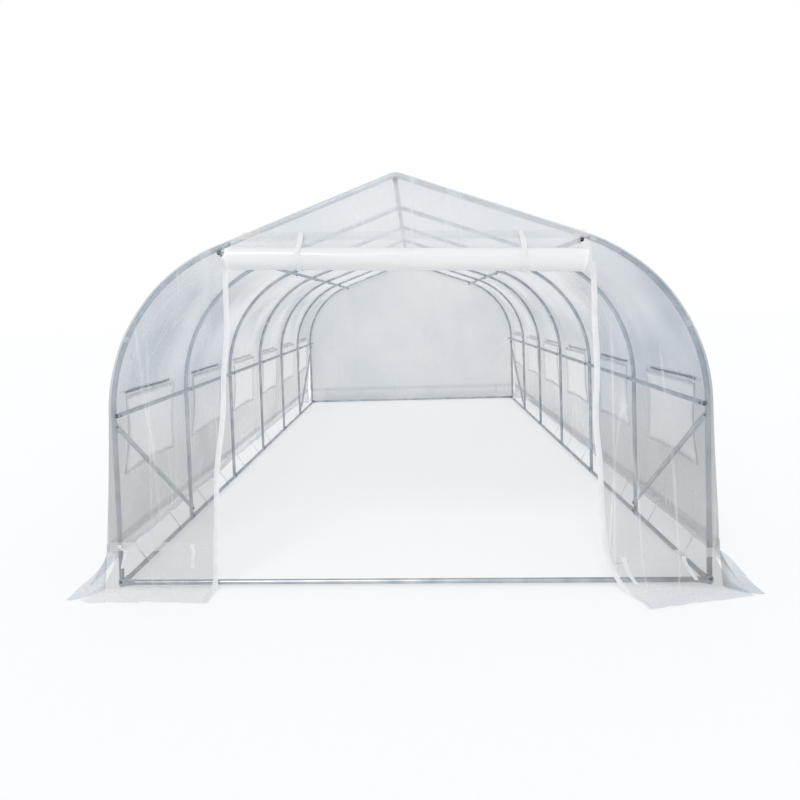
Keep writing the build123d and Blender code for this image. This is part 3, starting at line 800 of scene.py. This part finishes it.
# Back wall with its skirt, a whiter woven sheet
def back_place(k, h):
    """k runs from -1 to 1 across, h is the height, or under HEM the way along the skirt."""
    if h < HEM:
        down = HEM - h
        out, z = back_fall(down)
        away = min(down / SKIRT_FOLDED, 1.0)
        x = k * (POST_X + PANEL + 0.06 * smooth(away))
        out += away * 0.02 * rough(x * 3, 0.5, down)
        z += 0.016 * max(0.0, rough(x * 6, down * 7, BACK_FOLDS)) * away
        y = END_Y + out + end_folds(x, HEM, BACK_FOLDS) * (1 - away)
        return Vector((x, y, max(z, GROUND_GAP)))
    x = k * (edge_x(h) + 0.02 * smooth(1 - h))
    return Vector((x, END_Y + end_folds(x, h, BACK_FOLDS) * 1.2, h))


back_hs = steps(HEM - back_fall.length, edge_points[-1][1] - 0.002, 0.03, [HEM, WAIST])
back, _ = grid("back_sheet", steps(-1.0, 1.0, 1 / 50), back_hs, back_place)
dress(back, back_look)
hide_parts("back_wall_film", "back_skirt")
cut = sum((b - a) * 2 * edge_x(max((a + b) / 2, HEM)) for a, b in spans(back_hs))

# Door leaf, one sheet from the seam down behind the roll and wound into it
TURNS = 6.0
TAIL = 0.14
TAIL_Y = 3.0116
WIND = 0.105


def leaf_place(x, t):
    """t under 0 is the tail, in metres above the roll's axis, and over 0 the turns round it."""
    axis = roll_z(x)
    if t < 0:
        high = min(seam_z(x), edge_z(x)) - 0.001 - axis
        bow = 0.006 * math.sin(math.pi * min(-t / TAIL, 1)) * (1 + rough(x * 5, 0, 3.0))
        return Vector((x, -(TAIL_Y + bow), axis - t / TAIL * high))
    angle = -t * 2 * math.pi
    dent = rough(x * 4, math.cos(angle) * 1.5, math.sin(angle) * 1.5 + t)
    r = ROLL_R * (1 - WIND * t) - 0.001 + 0.002 * dent
    r += 0.0016 * math.sin(angle * 3 + x * 2.5 + rough(x * 1.3, t, 0) * 4)
    slip = 0.03 * rough(t * 2.1, 5.0, 1.0 if x > 0 else 2.0) * smooth((abs(x) - 0.5) / 0.4)
    return Vector((x + slip, -ROLL_Y + r * math.cos(angle), axis + r * math.sin(angle)))


leaf_ts = [-TAIL, -0.12, -0.10, -0.08, -0.06, -0.04, -0.02] + steps(0.0, TURNS, 1 / 30)
leaf, _ = grid("door_leaf", steps(ROLL_START, ROLL_END, 0.025), leaf_ts, leaf_place)
dress(leaf, roll_look)

# The tail is a single layer, so it looks like the gable
leaf.data.materials.append(gable_look)
for f in leaf.data.polygons:
    if f.center.y > -3.02 and f.center.z > roll_z(f.center.x) + 0.006:
        f.material_index = 1
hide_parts("door_roll")

# Straps from the seam round the roll and back up inside
STRAP = 0.025
STRAP_OUT_Y, STRAP_TURN_Y, STRAP_IN_Y = 3.0155, 3.0145, 3.0093
runs = []
for share in (-0.51, 0.645):
    x = share * DOOR_TOP[1]
    axis, top = roll_z(x), seam_z(x) + 0.022
    r = ROLL_R + 0.0025
    behind, rise = ROLL_Y - STRAP_TURN_Y, top - axis
    turn = math.atan2(rise, behind) + math.acos(r / math.hypot(behind, rise))
    round_roll = [turn + (2 * math.pi - turn) * i / 32 for i in range(33)]
    wrap = [Vector((x, -ROLL_Y + r * math.cos(a), axis + r * math.sin(a))) for a in round_roll]
    start = Vector((x, -STRAP_OUT_Y, top))
    line = [start.lerp(wrap[0], i / 6) for i in range(7)] + wrap[1:]
    line += [Vector((x, -STRAP_IN_Y, axis + rise * i / 6)) for i in range(1, 7)]
    runs.append(([p + Vector((0.003 * math.sin(i * 0.5), 0, 0)) for i, p in enumerate(line)], ACROSS, STRAP))
straps, run = strips("roll_straps", runs, webbing)
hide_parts("door_straps")

# Seam band that the door hangs from
SEAM_BAND = 0.042
line = []
for x in steps(gable_left + 0.02, gable_right - 0.02, 0.03):
    line.append(Vector((x, -(END_Y + end_folds(x, seam_z(x), GABLE_FOLDS) + 0.0015), seam_z(x))))
band, run = strips("seam_band", [(line, UP, SEAM_BAND)], band_look)

# Zip tapes down the door's edges
ZIP_TAPE = 0.028
ZIP_TOP = {-1: 1.62, 1: 1.60}
ZIP_LIFT = 0.002
for side, word, seed in FRONTS:
    line = []
    for h in steps(ZIP_TOP[side], HEM - front_fall.length, 0.03, [HEM]):
        p = end_place(side, 1.0, h, seed)
        line.append(p + Vector((0, -ZIP_LIFT, ZIP_LIFT if h < HEM else 0)))
    tape, run = strips(word + "_tape", [(line, ACROSS, ZIP_TAPE)], webbing)
    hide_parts(word + "_zip_tape")

# Hem bands, translucent doubled film sewn across the walls
HEM_BAND = 0.047
BAND_LIFT = 0.003
runs = []
for side in (-1, 1):
    line = [cover_point(side, HEM + 0.004, y, BAND_LIFT) for y in steps(-END_Y, END_Y, 0.04)]
    runs.append((line, UP, HEM_BAND))
band, run = strips("side_bands", runs, band_look)
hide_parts("side_hem_bands")

runs = []
for side, _, seed in FRONTS:
    line = []
    for i in range(21):
        k = 0.01 + 0.93 * i / 20
        h = HEM + 0.02 if side < 0 else HEM - 0.03 - 0.035 * k
        line.append(end_place(side, k, h, seed) - ALONG * BAND_LIFT)
    runs.append((line, UP, HEM_BAND))
band, run = strips("front_bands", runs, band_look)
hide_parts("front_hem_bands")

line = [back_place(k, HEM + 0.001) + ALONG * BAND_LIFT for k in steps(-0.99, 0.99, 0.02)]
band, run = strips("back_band", [(line, UP, HEM_BAND)], band_look)
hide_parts("back_hem_band")

# Ties that hang from the hem bands at the two ends
END_TIE = 0.020
TIE_LIFT = 0.0055
runs = []
for side, seed, ks in ((-1, LEFT_FOLDS, (0.10, 0.78)), (1, RIGHT_FOLDS, (0.30, 0.86))):
    for k in ks:
        line = []
        for i in range(9):
            h = (HEM + 0.03 if side < 0 else HEM - 0.05) - 0.125 * i / 8
            p = end_place(side, k, h, seed)
            line.append(p + Vector((0.003 * math.sin(i * 0.7 + k * 9), -TIE_LIFT, 0)))
        runs.append((line, ACROSS, END_TIE))
for i in range(6):
    x = (i - 2.5) * 0.5
    line = []
    for j in range(9):
        p = back_place(x / (POST_X + PANEL), HEM + 0.02 - 0.13 * j / 8)
        line.append(p + Vector((0.003 * math.sin(j + i), TIE_LIFT, 0)))
    runs.append((line, ACROSS, END_TIE))
ties, run = strips("end_ties", runs, webbing)
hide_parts("hem_ties")

# Ties from the side walls round the ground rails
RAIL_TIE = 0.016
RAIL_X, RAIL_Z = 1.47255, 0.025
LOOP_R = 0.0145
runs = []
for side in (-1, 1):
    for i in range(12):
        y = HOOPS[0] + 0.25 + i * 0.498
        loop = []
        for j in range(17):
            a = math.radians(100 - 340 * j / 16)
            x, z = RAIL_X + LOOP_R * math.cos(a), RAIL_Z + LOOP_R * math.sin(a)
            if z > 0.002:
                loop.append(Vector((side * x, y + 0.0006 * j, z)))
        wall = cover_point(side, 0.16, y, -0.004)
        runs.append(([wall.lerp(loop[0], j / 6) for j in range(6)] + loop, ALONG, RAIL_TIE))
ties, run = strips("rail_ties", runs, webbing)

# Straps round the hoops, by their height along the section, and short ends that hang inside
HOOP_STRAP_R = 0.0134
STRAP_HEIGHTS = (1.30, 1.93, 2.85)
LOOSE_ENDS = (
    (-1, HOOPS[0] + 0.05, 1.22, 0.15),
    (1, HOOPS[0] + 0.06, 1.10, 0.15),
    (1, HOOPS[0] + 0.09, 1.10, 0.17),
)
runs = []
for y in (HOOPS[0], HOOPS[3], HOOPS[6]):
    for side in (-1, 1):
        for s in STRAP_HEIGHTS:
            x, z, nx, nz = section(s, 0.0)
            line = []
            for j in range(20):
                a = 2 * math.pi * j / 19
                out = Vector((nx * math.cos(a), math.sin(a), nz * math.cos(a))) * HOOP_STRAP_R
                p = Vector((x, y, z)) + out
                line.append(Vector((side * p.x, p.y, p.z)))
            runs.append((line, Vector((side * -nz, 0, nx)), 0.030))
for side, y, s, drop in LOOSE_ENDS:
    x, z, nx, nz = section(s, -0.002)
    line = []
    for j in range(9):
        inward = 0.02 + 0.05 * (j / 8) ** 2
        line.append(Vector((side * (x - inward), y + 0.01 * math.sin(j * 0.6), z - drop * j / 8)))
    runs.append((line, Vector((0.4, 0.9, 0)), 0.012))
straps, run = strips("hoop_straps", runs, webbing)

# Bolts at the joints, at the tube's far side or on a flattened end
ON_TAB = 0.0003
THREAD_R = 0.003
RAIL_BOLT_X, BRACE_BOLT_X = 1.4704, 1.4727
SILL_BOLT_Y, PURLIN_PIN_Y = 3.0023, 3.004
BRACE_TOP, BRACE_FOOT = WAIST - 0.06, 0.075


def turned(bm, matrix, sides, foot_r, top_r, length):
    bmesh.ops.create_cone(
        bm, cap_ends=True, segments=sides, radius1=foot_r, radius2=top_r, depth=length, matrix=matrix
    )


def bolt(bm, at, axis, reach):
    """A hexagon head on a washer, with the thread's end on the far side."""
    axis = Vector(axis).normalized()
    turn = UP.rotation_difference(axis).to_matrix().to_4x4()
    for r, depth, shift, sides in ((0.0085, 0.0014, 0.0007, 20), (0.0058, 0.0042, 0.0035, 6)):
        m = Matrix.Translation(Vector(at) + axis * (reach + shift)) @ turn
        turned(bm, m, sides, r, r * 0.94, depth)
    turned(bm, Matrix.Translation(Vector(at) - axis * (reach + 0.003)) @ turn, 12, THREAD_R, THREAD_R, 0.008)


purlin_r = BOW_R - PURLIN
shoulder = (ARC_X + purlin_r * math.cos(BOW_END), WAIST + purlin_r * math.sin(BOW_END))
bm = bmesh.new()
for y in HOOPS:
    for side in (-1, 1):
        bolt(bm, (side * (POST_X - PURLIN), y, WAIST), (-side, 0, 0), TUBE_R)
        inward = (-side * math.cos(BOW_END), 0, -math.sin(BOW_END))
        bolt(bm, (side * shoulder[0], y, shoulder[1]), inward, TUBE_R)
        bolt(bm, (side * RAIL_BOLT_X, y, RAIL_Z), (-side, 0, 0), ON_TAB)
    bolt(bm, (0, y, RIDGE_ARC_Z + RIDGE_R - PURLIN), (0, 0, -1), TUBE_R)
for side in (-1, 1):
    for end in (-1, 1):
        bolt(bm, (side * BRACE_BOLT_X, end * HOOP_Y, BRACE_TOP), (-side, 0, 0), ON_TAB)
        bolt(bm, (side * BRACE_BOLT_X, end * (HOOP_Y - BAY), BRACE_FOOT), (-side, 0, 0), ON_TAB)
        bolt(bm, (side * POST_X, end * SILL_BOLT_Y, RAIL_Z), (0, end, 0), ON_TAB)
        for x, z in ((POST_X - PURLIN, WAIST), shoulder):
            m = Matrix.Translation((side * x, end * PURLIN_PIN_Y, z)) @ Matrix.Rotation(math.pi / 2, 4, "Y")
            turned(bm, m, 10, THREAD_R, THREAD_R, 0.023)
dress(finished("joint_bolts", bm, True), dark)


# Floor, backdrop and light, all white
def floor_piece():
    bm = bmesh.new()
    bmesh.ops.create_grid(bm, x_segments=1, y_segments=1, size=60.0)
    for v in bm.verts:
        v.co.z = -0.001
    floor = finished("floor", bm)
    m, nt, bsdf, out = material("floor")
    bsdf.inputs["Base Color"].default_value = (1, 1, 1, 1)
    bsdf.inputs["Roughness"].default_value = 0.9
    bsdf.inputs["Specular IOR Level"].default_value = 0.0
    seen = nt.nodes.new("ShaderNodeLightPath").outputs["Is Camera Ray"]
    lift = nt.nodes.new("ShaderNodeEmission").outputs["Emission"]
    half_lit = ramp(nt, seen, 0.0, 1.0, 0.0, 0.5)
    nt.links.new(blended(nt, half_lit, bsdf.outputs["BSDF"], lift), out.inputs["Surface"])
    floor.data.materials.append(m)
    return floor


def sky():
    world = bpy.data.worlds.new("world")
    bpy.context.scene.world = world
    world.use_nodes = True
    nt = world.node_tree
    back = nt.nodes["Background"]
    back.inputs["Color"].default_value = (0.96, 0.98, 1.0, 1)
    back.inputs["Strength"].default_value = 0.81
    white = nt.nodes.new("ShaderNodeBackground")
    white.inputs["Color"].default_value = (1, 1, 1, 1)
    white.inputs["Strength"].default_value = 1.0
    seen = nt.nodes.new("ShaderNodeLightPath").outputs["Is Camera Ray"]
    both = blended(nt, seen, back.outputs["Background"], white.outputs["Background"])
    nt.links.new(both, nt.nodes["World Output"].inputs["Surface"])


def sun_light():
    sun = bpy.data.lights.new("sun", "SUN")
    sun.energy = 0.88
    sun.angle = math.radians(20)
    o = bpy.data.objects.new("sun", sun)
    o.rotation_euler = (math.radians(42), math.radians(-20), 0)
    bpy.context.collection.objects.link(o)
    return o


floor_piece()
sky()
sun_light()
bpy.context.scene.view_settings.view_transform = "Standard"
